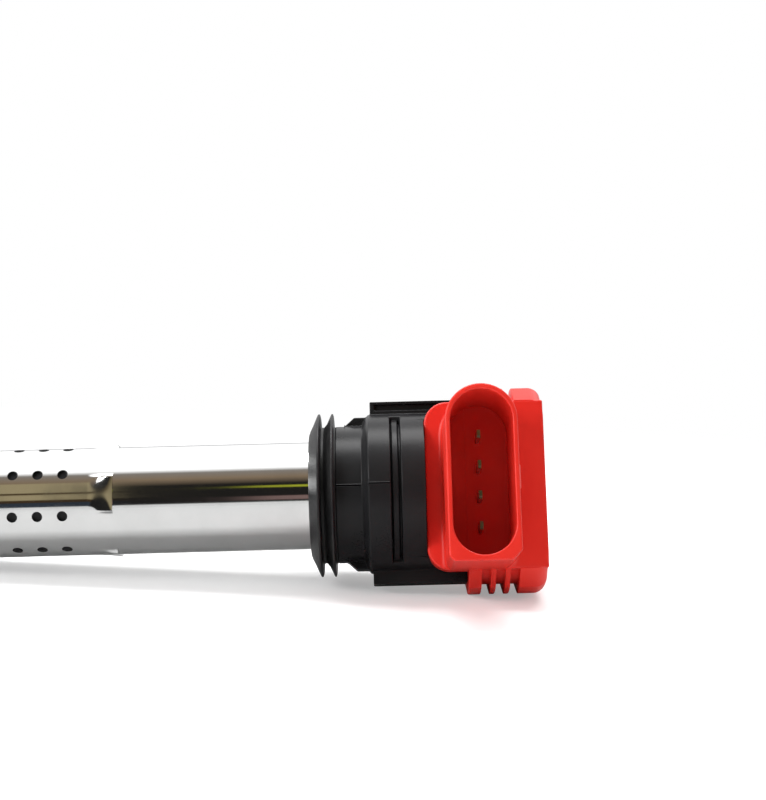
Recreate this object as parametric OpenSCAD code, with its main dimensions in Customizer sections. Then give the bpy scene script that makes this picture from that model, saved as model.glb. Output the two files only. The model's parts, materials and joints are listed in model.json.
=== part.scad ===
// Pencil ignition coil: it stands in a spark plug well, pushes onto the plug, and takes a
// four-way harness plug at its head. Every module is drawn in the coil's own frame: X runs
// along the coil, towards the head, and the harness socket opens towards -Y. X = 0 is midway
// between the two lips of the well seal. lay() then tips the coil onto one flat of its cap,
// which is how it lies on a bench, with +Z up.

/* [Core tube] */
// Outside diameter of the steel tube
tube_d = 22; // [21.6:0.1:22.4]
// Wall of the steel tube
tube_wall = 0.7; // [0.5:0.1:0.7]
// Distance from the seal down to the tube's lower end
tube_reach = 72; // [72:0.5:74]
// Diameter of the vent holes
hole_d = 2.1; // [1.6:0.1:2.6]
// Spacing of the three rings of vent holes
hole_pitch = 5; // [4.5:0.1:5.2]
// Vent holes in each ring
holes_around = 8; // [8:8:16]

/* [Head] */
// Radius of the neck that stands in the well's mouth
neck_r = 14; // [13.8:0.1:14.2]
// Radius of the black barrel above the neck
barrel_r = 16.3; // [16:0.1:16.4]
// Radius of the red cap
cap_r = 21; // [20.9:0.1:21.4]
// Distance from the axis to each flat of the cap
cap_flat = 20.4; // [20.2:0.1:20.5]
// Distance from the seal to the end of the cap
head_reach = 43.9; // [43.4:0.1:45]
// Radius of the seal over its lips
seal_r = 16.7; // [16.6:0.1:17]

/* [Harness socket] */
// Distance from the axis to the socket's mouth
mouth_y = 29; // [27:0.1:30]
// Width of the socket inside
socket_w = 11.9; // [11.4:0.1:12.2]
// Height of the socket inside
socket_h = 31.6; // [31:0.1:32]
// Spacing of the four blades
blade_pitch = 6; // [5.8:0.1:6.2]

/* [Plug end] */
// Radius of the boot's bore, over the spark plug's insulator
plug_r = 5; // [4.6:0.1:5.4]
// Distance from the seal to the boot's mouth
boot_reach = 116; // [115:0.5:118]
// Turns of the contact spring
spring_turns = 9; // [7:1:10]

/* [Hidden] */
$fn = 72;

// How far the socket tips up when the coil lies on a flat of its five-sided cap
rest_tilt = 90 - 72;
// Gap between two pieces that are pushed together
gap = 0.05;
// Extra length on a cut, so that it runs past the face
past = 0.5;
// A length that reaches past every piece
far = 40;

// Black head, stations along X
seal_start = -3.4;
seal_end = 2;
key_start = 4;
barrel_start = 7.6;
cavity_start = 9;
wing_start = 9.05;
groove_start = 13;
plate_start = 19.9;
cap_start = 28;
spigot_end = 36;

// Black head, sizes
spigot_r = 12.2;
cap_spigot_r = 15.5;
cavity_r = 13.8;
shoulder = 1.2;       // length of the cone between the neck and the barrel
groove_w = 2.1;
groove_depth = 1;
flat_y = 8.7;         // the barrel is cut flat here, behind the red plate
flat_wall = 1.5;      // wall between that flat and the cavity
wing_r = 18.7;
wing_half = 3;
wing_rim = 0.6;       // rim round the pocket in each wing's front face
wing_pocket = 0.8;
key_r = 15.6;
key_half = 2.6;
seam_half = 0.15;     // moulding line along the front
seam_proud = 0.1;

// Seal, sizes
lip_x = 1.2;          // each lip is widest from here
lip_land = 0.35;      // to here
lip_root = 0.7;       // step in radius at the root of the first lip

// Red head, sizes
plate_y = 10.5;       // front face of the plate
plate_back = 5.5;
plate_half = 16.9;    // half height of the plate and of the socket
plate_corner = 4.6;
socket_x = 30.4;      // centre of the socket along X
socket_wall = 0.95;
socket_floor = 10.3;
socket_step = 1;      // small cut on the socket's lower corner by the tube
socket_cut = 1.8;     // larger cut on its other lower corner, which keys the plug
latch_half = 2.3;
latch_rise = 0.9;
latch_y = [19, 20, 24];
cap_edge = 2.6;       // rounding of the cap's end
fin_w = 1.8;
fin_pitch = 2.85;
fin_first = 30.6;
fin_floor = 19;
fin_back = 7;         // half width of the smooth strip behind
fin_front = 3.2;      // how far above their floor the slots start in front
cover_r = 16.2;
cover_t = 1.8;
cover_mark = [3.5, 9, 0.4];

// Blades
blade_w = 1.6;
blade_t = 0.64;
blade_tip = 18.3;
blade_point = 0.6;
blade_taper = 0.35;
blade_row = [-1.5, -0.5, 0.5, 1.5];
blade_foot = 2;       // length soldered to the board

// Driver: each box is two opposite corners
board_y = 2;          // front face of the board
board = [[13, board_y, -10.8], [27, board_y + 1, 10.8]];
spreader = [[13.5, board_y + 1, -9.8], [26.5, board_y + 2.4, 9.8]];
transistor = [[14.5, board_y - 2.6, -8], [22, board_y, 1]];
capacitor = [[15, board_y - 2, 4], [21, board_y, 8.5]];
resin_end = 38;
lead_r = 0.35;
lead_turn = 8.7;
lead_y = board_y + 0.5;

// Tube
tube_top = 5;
tube_bottom = -tube_reach;
vent_first = -52.6;   // ring of holes nearest the head
louvre_start = -47.1;
louvre_end = -42.5;
louvre_half = 3.9;
louvre_tilt = 9;
louvre_wall = 0.5;
louvre_cut = 2.6;
slot_w = 1.2;

// Transformer
case_top = 8.6;
case_r = 10.2;
case_wall = 0.9;
case_in = case_r - case_wall;
hv_top = -62.4;       // face that both bobbins and the core stand on
winding_end = 2;
flange_t = 1;
primary_r = 8.5;
primary_wall = 0.5;
secondary_r = 5.6;
secondary_wall = 0.6;
secondary_flange_r = 7.6;
sections = 9;
section_pitch = (winding_end - hv_top - flange_t) / sections;
core_r = 4.2;
laminations = 9;
stack_half = 3.9;     // half height of the pile of laminations
magnet_l = 4;
damper_l = 1.5;
core_start = hv_top + damper_l + magnet_l;
core_end = -6;
sleeve_r = 4.7;
sleeve_wall = 0.4;

// Plug end
hv_t = 0.8;
hv_r = 6.5;
resistor_end = hv_top - 1.6;
resistor_start = -74;
resistor_r = 2.6;
collar_t = 1.4;
tower_r = 6.8;
tower_end = -84;
channel_r = 4.3;
seat_t = 1;
spring_top = resistor_start - seat_t;
spring_r = 3;
wire_d = 0.7;
contact_back = -90.2;
contact_flange_t = 1;
contact_r = 3.3;
contact_tip = -94;
lip_r = 3.7;
lip_start = -93.4;
lip_end = contact_back - contact_flange_t - 0.1;
boot_mouth = -boot_reach;
boot_top = tube_bottom - collar_t - gap;
bore_end = -94.2;

// Tips the whole coil onto the cap's flat
module lay() rotate([-rest_tilt, 0, 0]) children();

// Turns a shape drawn along Z so that it runs along +X from x0
module along_x(x0) translate([x0, 0, 0]) rotate([0, 90, 0]) children();

// A round bar along X between two stations
module bar(x0, x1, r) along_x(x0) cylinder(h = x1 - x0, r = r);

// A round tube along X between two stations
module pipe(x0, x1, r, inner) difference() {
    bar(x0, x1, r);
    bar(x0 - past, x1 + past, inner);
}

// A box between two opposite corners, grown by a margin on every side
module block(a, b, grow = 0) translate(a - [grow, grow, grow])
    cube(b - a + 2 * [grow, grow, grow]);

// Everything behind the plane y = -depth, between two stations
module behind(x0, x1, depth) block([x0, -depth, -far], [x1, far, far]);

// The part of a bar that is behind a flat
module flat_bar(x0, x1, r, depth) intersection() {
    bar(x0, x1, r);
    behind(x0, x1, depth);
}

// An outline in X and Z, given a thickness from y = -front back to y = -back
module slab(front, back) translate([0, -back, 0]) rotate([90, 0, 0])
    linear_extrude(front - back) children();

// ---- black head ----

module barrel() {
    bar(seal_start + 0.4, seal_end, spigot_r);
    bar(seal_end, barrel_start, neck_r);
    along_x(barrel_start - shoulder / 2) cylinder(h = shoulder, r1 = neck_r, r2 = barrel_r);
    difference() {
        bar(barrel_start + shoulder / 2 - gap, plate_start, barrel_r);
        pipe(groove_start, groove_start + groove_w, far, barrel_r - groove_depth);
    }
    flat_bar(plate_start - past, cap_start, barrel_r, flat_y);
    flat_bar(cap_start - past, spigot_end, cap_spigot_r, flat_y);
}

// Rail at each side of the head, with a long shallow pocket in its front face
module wing() difference() {
    block([wing_start, -wing_half, neck_r], [cap_start, wing_half, wing_r]);
    block([wing_start + 1, -far, barrel_r + wing_rim],
          [cap_start - 3, wing_pocket - wing_half, wing_r - wing_rim]);
}

// Key below each wing, which stops the coil from turning in the well
module key() intersection() {
    block([key_start, -key_half, spigot_r], [wing_start + past, key_half, key_r]);
    along_x(key_start) cylinder(h = far, r1 = neck_r - 0.4, r2 = neck_r - 0.4 + far);
}

// Raised moulding line along the front of a round stretch
module seam(x0, x1, r)
    block([x0, -r - seam_proud, -seam_half], [x1, 1 - r, seam_half]);

// The four blades' slots through the front wall
module blade_slots() for (i = blade_row)
    block([socket_x - blade_t / 2, -plate_y - past, i * blade_pitch - blade_w / 2],
          [socket_x + blade_t / 2, 0, i * blade_pitch + blade_w / 2], gap);

module head_housing() color("#1d1e20") difference() {
    union() {
        barrel();
        for (side = [0, 180]) rotate([side, 0, 0]) {
            wing();
            key();
        }
        seam(seal_end, barrel_start, neck_r);
        seam(barrel_start, groove_start, barrel_r);
    }
    bar(seal_start - past, tube_top, tube_d / 2 + gap);
    bar(tube_top - past, cavity_start + past, case_r + gap);
    bar(cavity_start, plate_start, cavity_r);
    flat_bar(plate_start - past, spigot_end + past, cavity_r, flat_y - flat_wall);
    blade_slots();
}

module well_seal() color("#151516") along_x(0) rotate_extrude() polygon([
    [spigot_r + 0.02, seal_start], [neck_r - lip_root, seal_start + 0.3],
    [seal_r, -lip_x - lip_land], [seal_r, -lip_x], [neck_r, 0.2 - lip_x],
    [neck_r - 0.1, -0.3], [seal_r, lip_x], [seal_r, lip_x + lip_land],
    [neck_r, seal_end - 0.3], [neck_r, seal_end - 0.02], [spigot_r + 0.02, seal_end - 0.02]
]);

// ---- red head ----

// Plate with rounded corners on the side of the tube
module plate_outline() {
    middle = plate_start + plate_corner;
    translate([middle, -plate_half]) square([head_reach - middle, 2 * plate_half]);
    translate([plate_start, plate_corner - plate_half])
        square([2 * plate_corner, 2 * (plate_half - plate_corner)]);
    for (side = [-1, 1]) translate([middle, side * (plate_half - plate_corner)])
        circle(r = plate_corner);
}

// Slot with round ends
module race_outline(w, h) {
    square([w, h - w], center = true);
    for (side = [-1, 1]) translate([0, side * (h - w) / 2]) circle(r = w / 2);
}

// Outside of the socket: round at the top, square below with one corner cut as a key
module socket_outline() translate([socket_x, 0]) {
    half = socket_w / 2 + socket_wall;
    race_outline(2 * half, 2 * plate_half);
    polygon([
        [-half, 0], [-half, socket_step - plate_half], [socket_step - half, -plate_half],
        [half - socket_cut, -plate_half], [half, socket_cut - plate_half], [half, 0]
    ]);
}

// Half section of the cap: a disc whose end is rounded
module cap_profile(length) {
    square([cap_r - cap_edge, length]);
    square([cap_r, length - cap_edge]);
    translate([cap_r - cap_edge, length - cap_edge]) circle(r = cap_edge);
}

// One slot round the cap, left out behind and in front
module fin_slot(x0) difference() {
    pipe(x0, x0 + fin_w, far, fin_floor);
    block([x0 - past, 0, -fin_back], [x0 + fin_w + past, 2 * far, fin_back]);
    block([x0 - past, -2 * far, fin_front - fin_floor], [x0 + fin_w + past, 0, fin_floor - fin_front]);
}

// Five-sided round cap with grip slots
module cap() difference() {
    intersection() {
        along_x(cap_start) rotate_extrude() cap_profile(head_reach - cap_start);
        along_x(cap_start) rotate([0, 0, -rest_tilt])
            cylinder(h = far, r = cap_flat / cos(36), $fn = 5);
        behind(cap_start, head_reach + past, plate_y);
    }
    for (i = [0:2]) fin_slot(fin_first + i * fin_pitch);
}

// Ramp that the harness plug's latch hooks over
module latch_ramp() translate([socket_x + socket_w / 2 + socket_wall - gap, 0, -latch_half])
    linear_extrude(2 * latch_half) polygon([
        [0, -latch_y[2]], [latch_rise, -latch_y[1]], [latch_rise, -latch_y[0]], [0, -latch_y[0]]
    ]);

module connector_housing() color("#e0241d") difference() {
    union() {
        slab(plate_y, plate_back) plate_outline();
        cap();
        slab(mouth_y, socket_floor - 1) socket_outline();
        latch_ramp();
    }
    flat_bar(plate_start - past, cap_start + gap, barrel_r + gap, flat_y + gap);
    flat_bar(cap_start - past, spigot_end + gap, cap_spigot_r + gap, flat_y + gap);
    flat_bar(spigot_end - past, head_reach, cavity_r, flat_y + gap);
    flat_bar(head_reach - cover_t, head_reach + past, cover_r + gap, flat_y + gap);
    slab(mouth_y + past, socket_floor)
        translate([socket_x, 0]) race_outline(socket_w, socket_h);
    blade_slots();
}

module end_cover() color("#dc231c") difference() {
    flat_bar(head_reach - cover_t, head_reach, cover_r, flat_y);
    translate([head_reach - cover_mark[2], cover_mark[0], 0])
        rotate([0, 90, 0]) cylinder(h = 1, r = cover_mark[1]);
}

// ---- electronics ----

// Blade in the socket, with its foot bent over onto the driver board
module terminal(i, grow = 0) {
    z = blade_row[i] * blade_pitch;
    side = [blade_t / 2, blade_w / 2];
    block([socket_x - side[0], blade_point - blade_tip, z - side[1]],
          [socket_x + side[0], board_y, z + side[1]], grow);
    block([socket_x - side[0], -blade_tip, z - side[1] + blade_taper],
          [socket_x + side[0], blade_point - blade_tip, z + side[1] - blade_taper], grow);
    block([board[1][0] - blade_foot, board_y - blade_t, z - side[1]],
          [socket_x, board_y, z + side[1]], grow);
}

// Two wires from the primary winding up to the board
module leads(grow = 0) for (side = [-1, 1])
    translate([0, lead_y, side * sqrt(lead_turn * lead_turn - lead_y * lead_y)])
        bar(winding_end - flange_t - gap, board[0][0], lead_r + grow);

module driver_board() color("#e8e4da") block(board[0], board[1]);

module heat_spreader() color("#a9adb0") block(spreader[0], spreader[1]);

module power_transistor() color("#202124") block(transistor[0], transistor[1]);

module suppression_capacitor() color("#b88a4a") block(capacitor[0], capacitor[1]);

module primary_leads() color("#c07a3c") leads();

module potting_resin() color("#2b2420") difference() {
    union() {
        bar(winding_end + gap, case_top + past, case_in - gap);
        bar(case_top + gap, cavity_start + past, case_r - gap);
        flat_bar(cavity_start + gap, resin_end, cavity_r - gap, flat_y - flat_wall - gap);
    }
    for (part = [board, spreader, transistor, capacitor]) block(part[0], part[1], gap);
    for (i = [0:3]) terminal(i, gap);
    leads(gap);
}

// ---- transformer ----

// Tongue pressed out of the tube's wall, which rises towards the head
module louvre() intersection() {
    translate([louvre_start, -tube_d / 2, 0]) rotate([0, 0, -louvre_tilt])
        translate([-louvre_start, tube_d / 2, 0])
            pipe(louvre_start - 5, louvre_end + 5, tube_d / 2, tube_d / 2 - louvre_wall);
    block([louvre_start, -tube_d, -louvre_half], [louvre_end, 0, louvre_half]);
}

module vent_hole(ring, turn) translate([vent_first - ring * hole_pitch, 0, 0])
    rotate([turn, 0, 0]) rotate([90, 0, 0]) cylinder(h = tube_d, d = hole_d);

module core_tube() color("#c8cbcd") {
    difference() {
        pipe(tube_bottom, tube_top - gap, tube_d / 2, tube_d / 2 - tube_wall);
        for (ring = [0:2], i = [0:holes_around - 1]) vent_hole(ring, 180 / holes_around * (2 * i + 1));
        for (turn = [-90, 0, 90]) rotate([turn, 0, 0])
            block([louvre_end - louvre_cut, -tube_d, 0.3 - louvre_half],
                  [louvre_end + 0.2, 0, louvre_half - 0.3]);
        block([tube_bottom - past, 0, -slot_w / 2], [tube_top + past, tube_d, slot_w / 2]);
    }
    for (turn = [-90, 0, 90]) rotate([turn, 0, 0]) louvre();
}

module coil_case() color("#17181a") pipe(tube_bottom + gap, case_top, case_r, case_in);

module primary_bobbin() color("#3a3d42") difference() {
    union() {
        pipe(hv_top, winding_end, primary_r, primary_r - primary_wall);
        for (x = [hv_top, winding_end - flange_t])
            pipe(x, x + flange_t, case_in - 0.1, primary_r - primary_wall);
    }
    leads(gap);
}

module primary_winding() color("#b5652e")
    pipe(hv_top + flange_t + gap, winding_end - flange_t - gap, case_in - 0.2, primary_r + gap);

module secondary_bobbin() color("#d8d2c2") {
    pipe(hv_top, winding_end, secondary_r, secondary_r - secondary_wall);
    for (i = [0:sections]) translate([i * section_pitch, 0, 0])
        pipe(hv_top, hv_top + flange_t, secondary_flange_r, secondary_r - secondary_wall);
}

module secondary_winding() color("#8e3b20") for (i = [0:sections - 1])
    translate([i * section_pitch, 0, 0])
        pipe(hv_top + flange_t + gap, hv_top + section_pitch - gap,
             secondary_flange_r - 0.3, secondary_r + gap);

module core_sleeve() color("#2c4a36")
    pipe(core_start - magnet_l, core_end + magnet_l, sleeve_r, sleeve_r - sleeve_wall);

// Pile of steel strips, each as wide as the round bore lets it be
module core_stack() color("#6d7176") {
    pitch = 2 * stack_half / laminations;
    for (i = [0:laminations - 1]) {
        y = (i + 0.5) * pitch - stack_half;
        edge = abs(y) + pitch / 2;
        half = sqrt(core_r * core_r - edge * edge);
        block([core_start, y - pitch / 2 - 0.01, -half], [core_end, y + pitch / 2, half]);
    }
}

module magnet(x0) color("#4b4e55") bar(x0, x0 + magnet_l, core_r);

module upper_magnet() magnet(core_end);

module lower_magnet() magnet(core_start - magnet_l);

module damper(x0) color("#b9b2a2") bar(x0, x0 + damper_l, core_r);

module upper_damper() damper(core_end + magnet_l);

module lower_damper() damper(hv_top);

// ---- plug end ----

module hv_terminal() color("#c9a24a") {
    bar(hv_top - hv_t, hv_top, hv_r);
    bar(resistor_end, hv_top - gap, resistor_r - 1);
}

module suppressor_resistor() color("#d9d5cc") {
    bar(resistor_start + 1, resistor_end - 1, resistor_r - 0.3);
    for (x = [resistor_start, resistor_end - 1]) bar(x, x + 1, resistor_r);
}

module hv_tower() color("#1a1b1d") difference() {
    union() {
        bar(tube_bottom, hv_top - hv_t, case_in - gap);
        bar(tube_bottom - collar_t, tube_bottom, tube_d / 2 - 0.1);
        bar(tower_end, tube_bottom - collar_t + past, tower_r);
    }
    bar(tower_end - past, resistor_start, channel_r);
    bar(resistor_start - past, hv_top, resistor_r + gap);
}

module spring_seat() color("#c9a24a") bar(spring_top, resistor_start, channel_r - gap);

// Points of a round wire's ring at one step along the coil spring
function ring_at(t, length, sides) = let (
    a = 360 * spring_turns * t,
    x = wire_d / 2 + (length - wire_d) * t,
    pitch_angle = atan2(length - wire_d, 2 * PI * spring_r * spring_turns)
) [for (k = [0:sides - 1]) let (
    b = 360 * k / sides,
    out = spring_r + wire_d / 2 * cos(b),
    up = wire_d / 2 * sin(b)
) [x + up * cos(pitch_angle), out * cos(a) + up * sin(pitch_angle) * sin(a),
   out * sin(a) - up * sin(pitch_angle) * cos(a)]];

// Coil spring along X: rings of the wire, joined by faces and closed at both ends
module helix(length, sides = 6, steps_a_turn = 14) {
    steps = spring_turns * steps_a_turn;
    points = [for (i = [0:steps]) each ring_at(i / steps, length, sides)];
    walls = [for (i = [0:steps - 1], k = [0:sides - 1]) let (n = (k + 1) % sides)
        [i * sides + k, i * sides + n, (i + 1) * sides + n, (i + 1) * sides + k]];
    start = [[for (k = [sides - 1:-1:0]) k]];
    end = [[for (k = [0:sides - 1]) steps * sides + k]];
    polyhedron(points, concat(start, walls, end), convexity = 10);
}

module contact_spring() color("#aeb1b4") translate([contact_back + gap, 0, 0])
    helix(spring_top - contact_back - 2 * gap);

module contact_cap() color("#c9a24a") {
    bar(contact_back - contact_flange_t, contact_back, channel_r - 0.3);
    bar(contact_tip, contact_back - contact_flange_t / 2, contact_r);
}

// Half section of the boot's outside, from its mouth up to the tube
module boot_profile() polygon([
    [0, boot_mouth], [9.6, boot_mouth], [10.2, boot_mouth + 0.8], [10.2, boot_mouth + 5],
    [9.4, boot_mouth + 7], [8.8, -100], [8.6, -90], [9, -84], [9, -81], [10, -80.6],
    [10, -79], [9.2, -78.6], [9.2, -77.6], [10.4, -77.2], [10.4, boot_top], [0, boot_top]
]);

module plug_boot() color("#161617") difference() {
    along_x(0) rotate_extrude() boot_profile();
    bar(tower_end - gap, tube_bottom, tower_r + gap);
    bar(lip_end, tower_end, channel_r);
    bar(lip_start - past, lip_end + past, lip_r);
    bar(bore_end, lip_start, plug_r + 0.6);
    bar(boot_mouth - past, bore_end + past, plug_r);
    along_x(boot_mouth) cylinder(h = 1, r1 = plug_r + 0.9, r2 = plug_r);
}

lay() head_housing();
lay() well_seal();
lay() connector_housing();
lay() end_cover();
lay() color("#c9c6bb") terminal(0);  // terminal_supply
lay() color("#c9c6bb") terminal(1);  // terminal_signal
lay() color("#c9c6bb") terminal(2);  // terminal_ground
lay() color("#c9c6bb") terminal(3);  // terminal_engine
lay() driver_board();
lay() heat_spreader();
lay() power_transistor();
lay() suppression_capacitor();
lay() potting_resin();
lay() core_tube();
lay() coil_case();
lay() primary_leads();
lay() primary_bobbin();
lay() primary_winding();
lay() secondary_bobbin();
lay() secondary_winding();
lay() core_sleeve();
lay() core_stack();
lay() upper_magnet();
lay() lower_magnet();
lay() upper_damper();
lay() lower_damper();
lay() hv_terminal();
lay() suppressor_resistor();
lay() hv_tower();
lay() spring_seat();
lay() contact_spring();
lay() contact_cap();
lay() plug_boot();
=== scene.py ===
# Pencil ignition coil on a white bench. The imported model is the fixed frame, and the shells,
# the seal, the tube, the boot and the sprung contact are modelled round it here.
# Shapes are drawn in millimetres in the coil's own frame, with x along the coil towards its head
# and the harness socket facing -y, then tipped onto the bench by toBench.
import math

import bmesh
import bpy
from mathutils import Matrix, Vector
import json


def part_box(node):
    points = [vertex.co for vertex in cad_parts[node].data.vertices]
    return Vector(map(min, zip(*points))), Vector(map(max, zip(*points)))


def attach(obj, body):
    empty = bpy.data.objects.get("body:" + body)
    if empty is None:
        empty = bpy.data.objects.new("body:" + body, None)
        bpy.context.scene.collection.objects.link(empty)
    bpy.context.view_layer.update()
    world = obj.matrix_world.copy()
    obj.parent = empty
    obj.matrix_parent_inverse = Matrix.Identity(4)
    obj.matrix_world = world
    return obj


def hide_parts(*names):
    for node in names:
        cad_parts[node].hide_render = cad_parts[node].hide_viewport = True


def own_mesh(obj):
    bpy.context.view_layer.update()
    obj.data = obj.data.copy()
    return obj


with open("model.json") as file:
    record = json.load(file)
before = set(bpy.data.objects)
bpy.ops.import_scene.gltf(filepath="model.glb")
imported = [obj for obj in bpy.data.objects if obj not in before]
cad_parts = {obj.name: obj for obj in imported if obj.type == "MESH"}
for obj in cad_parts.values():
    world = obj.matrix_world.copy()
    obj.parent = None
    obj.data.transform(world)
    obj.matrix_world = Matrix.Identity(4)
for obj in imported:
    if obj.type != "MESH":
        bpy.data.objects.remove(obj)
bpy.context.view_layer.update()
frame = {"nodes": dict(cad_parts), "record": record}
mm = 0.001
mergeDistance = 0.002  # vertices closer than this become one
mounts = {mount["name"]: mount for mount in frame["record"]["mounts"]}
socketAxis = Vector(mounts["harness_socket"]["axis"])
lean = math.atan2(socketAxis.z, -socketAxis.y)  # how far the socket tips up
toBench = Matrix.Rotation(-lean, 4, "X") @ Matrix.Scale(mm, 4)
print("frame loaded:", len(frame["nodes"]), "nodes, socket tipped up", round(math.degrees(lean), 1))


def stationsOf(node):
    # first and last place of a CAD node along the coil
    low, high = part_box(node)
    return low[0] / mm, high[0] / mm


def ease(t):
    # 0 to 1, slow at both ends
    t = min(max(t, 0), 1)
    return t * t * (3 - 2 * t)


# ---- mesh helpers ----

def newObject(name, bm):
    bmesh.ops.remove_doubles(bm, verts=bm.verts, dist=mergeDistance)
    bmesh.ops.recalc_face_normals(bm, faces=bm.faces)
    if bm.calc_volume(signed=True) < 0:
        bmesh.ops.reverse_faces(bm, faces=bm.faces)
    mesh = bpy.data.meshes.new(name)
    bm.to_mesh(mesh)
    bm.free()
    piece = bpy.data.objects.new(name, mesh)
    bpy.context.scene.collection.objects.link(piece)
    return piece


def turnVerts(bm, verts, angle, axis):
    bmesh.ops.rotate(bm, verts=verts, cent=(0, 0, 0), matrix=Matrix.Rotation(angle, 3, axis))


def thicken(bm, way):
    # turns a flat outline into a solid
    grown = bmesh.ops.extrude_face_region(bm, geom=bm.faces[:])
    moved = [item for item in grown["geom"] if isinstance(item, bmesh.types.BMVert)]
    bmesh.ops.translate(bm, verts=moved, vec=way)


def plateShape(name, corners, front, back):
    # corners are (x, z, rounding); small ones are cut off straight
    bm = bmesh.new()
    verts = [bm.verts.new((x, -front, z)) for x, z, size in corners]
    bm.faces.new(verts)
    for vert, (x, z, size) in zip(verts, corners):
        if size:
            bmesh.ops.bevel(bm, geom=[vert], offset=size, offset_type="ABSOLUTE", profile=0.5,
                            segments=16 if size > 2 else 1, affect="VERTICES", material=-1)
    bmesh.ops.remove_doubles(bm, verts=bm.verts, dist=mergeDistance)
    thicken(bm, (0, front - back, 0))
    return newObject(name, bm)


def prism(name, corners, way):
    bm = bmesh.new()
    bm.faces.new([bm.verts.new(corner) for corner in corners])
    thicken(bm, way)
    return newObject(name, bm)


def lathe(name, profile, steps=160, start=0, sweep=360, closed=True, flat=None):
    # profile is (x, radius); the spin starts at the front and turns towards +z.
    # flat is the distance from the axis at which the front is cut off
    bm = bmesh.new()
    verts = [bm.verts.new((x, -r, 0)) for x, r in profile]
    solid = profile[0][1] == 0 and profile[-1][1] == 0  # its poles close it
    following = verts[1:] if solid or not closed else verts[1:] + verts[:1]
    edges = [bm.edges.new(pair) for pair in zip(verts, following)]
    whole = sweep == 360
    turnVerts(bm, verts, -math.radians(start), "X")
    bmesh.ops.spin(bm, geom=verts + edges, cent=(0, 0, 0), axis=(1, 0, 0), use_merge=whole,
                   angle=-math.radians(sweep), steps=steps, use_duplicate=False)
    if not whole:
        bmesh.ops.holes_fill(bm, edges=[e for e in bm.edges if e.is_boundary], sides=0)
    if flat:
        bmesh.ops.remove_doubles(bm, verts=bm.verts, dist=mergeDistance)
        sliceFlat(bm, (0, -flat, 0), (0, -1, 0))
    return newObject(name, bm)


def block(name, low, high):
    bm = bmesh.new()
    bmesh.ops.create_cube(bm, size=1)
    bmesh.ops.translate(bm, verts=bm.verts, vec=(0.5, 0.5, 0.5))
    bmesh.ops.scale(bm, verts=bm.verts, vec=Vector(high) - Vector(low))
    bmesh.ops.translate(bm, verts=bm.verts, vec=low)
    return newObject(name, bm)


def sliceFlat(bm, point, normal):
    bmesh.ops.bisect_plane(bm, geom=bm.verts[:] + bm.edges[:] + bm.faces[:], dist=0.0001,
                           plane_co=point, plane_no=normal, clear_outer=True)
    bmesh.ops.holes_fill(bm, edges=[e for e in bm.edges if e.is_boundary], sides=0)


def applyModifiers(piece):
    graph = bpy.context.evaluated_depsgraph_get()
    mesh = bpy.data.meshes.new_from_object(piece.evaluated_get(graph))
    piece.modifiers.clear()
    piece.data = mesh


def combine(target, others, operation):
    for other in others:
        step = target.modifiers.new("combine", "BOOLEAN")
        step.operation = operation
        step.solver = "MANIFOLD"
        step.object = other
        applyModifiers(target)
        bpy.data.objects.remove(other)


def join(target, others):
    combine(target, others, "UNION")


def cut(target, others):
    combine(target, others, "DIFFERENCE")


def bevelEdges(bm, edges, size, steps):
    bmesh.ops.bevel(bm, geom=edges, offset=size, offset_type="OFFSET", segments=steps, profile=0.5,
                    affect="EDGES", material=-1)


def isSharp(edge):
    return len(edge.link_faces) == 2 and edge.calc_face_angle() > 0.5


def edgeIs(edge, test):
    return all(test(vert.co) for vert in edge.verts)


def roundEdges(piece, size, steps, chosen, convex=True):
    # bevels the sharp edges that are chosen, outer ones or inner ones
    bm = bmesh.new()
    bm.from_mesh(piece.data)
    bmesh.ops.remove_doubles(bm, verts=bm.verts, dist=mergeDistance)
    sharp = [edge for edge in bm.edges if isSharp(edge) and edge.is_convex == convex and chosen(edge)]
    bevelEdges(bm, sharp, size, steps)
    bm.to_mesh(piece.data)
    bm.free()
    print("rounded", len(sharp), "edges of", piece.name)


def splitBroadFaces(piece):
    # a cut that opens a hole in the middle of one broad face would leave it torn
    bm = bmesh.new()
    bm.from_mesh(piece.data)
    bmesh.ops.triangulate(bm, faces=[face for face in bm.faces if len(face.verts) > 4])
    bm.to_mesh(piece.data)
    bm.free()


def finishPiece(piece, material, body, node, edge=0.25, steps=3, sharpAngle=32):
    # tips a piece onto the bench, softens its edges and hands it to the frame
    bm = bmesh.new()
    bm.from_mesh(piece.data)
    bmesh.ops.remove_doubles(bm, verts=bm.verts, dist=2 * mergeDistance)
    bmesh.ops.dissolve_degenerate(bm, edges=bm.edges, dist=2 * mergeDistance)
    bmesh.ops.transform(bm, matrix=toBench, verts=bm.verts)
    for face in bm.faces:
        face.smooth = True
    if not edge:
        for line in bm.edges:
            joined = len(line.link_faces) == 2
            line.smooth = joined and line.calc_face_angle() < math.radians(sharpAngle)
    bm.to_mesh(piece.data)
    bm.free()
    if edge:
        soft = piece.modifiers.new("soft edges", "BEVEL")
        soft.width = edge * mm
        soft.segments = steps
        soft.limit_method = "ANGLE"
        soft.angle_limit = math.radians(sharpAngle)
        soft.use_clamp_overlap = False
        soft.harden_normals = False
    flow = piece.modifiers.new("even shading", "WEIGHTED_NORMAL")
    flow.keep_sharp = True
    piece.data.materials.clear()
    piece.data.materials.append(material)
    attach(piece, body)
    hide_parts(node)
    print("made", piece.name, len(piece.data.polygons), "faces")


# ---- shader helpers ----

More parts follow.
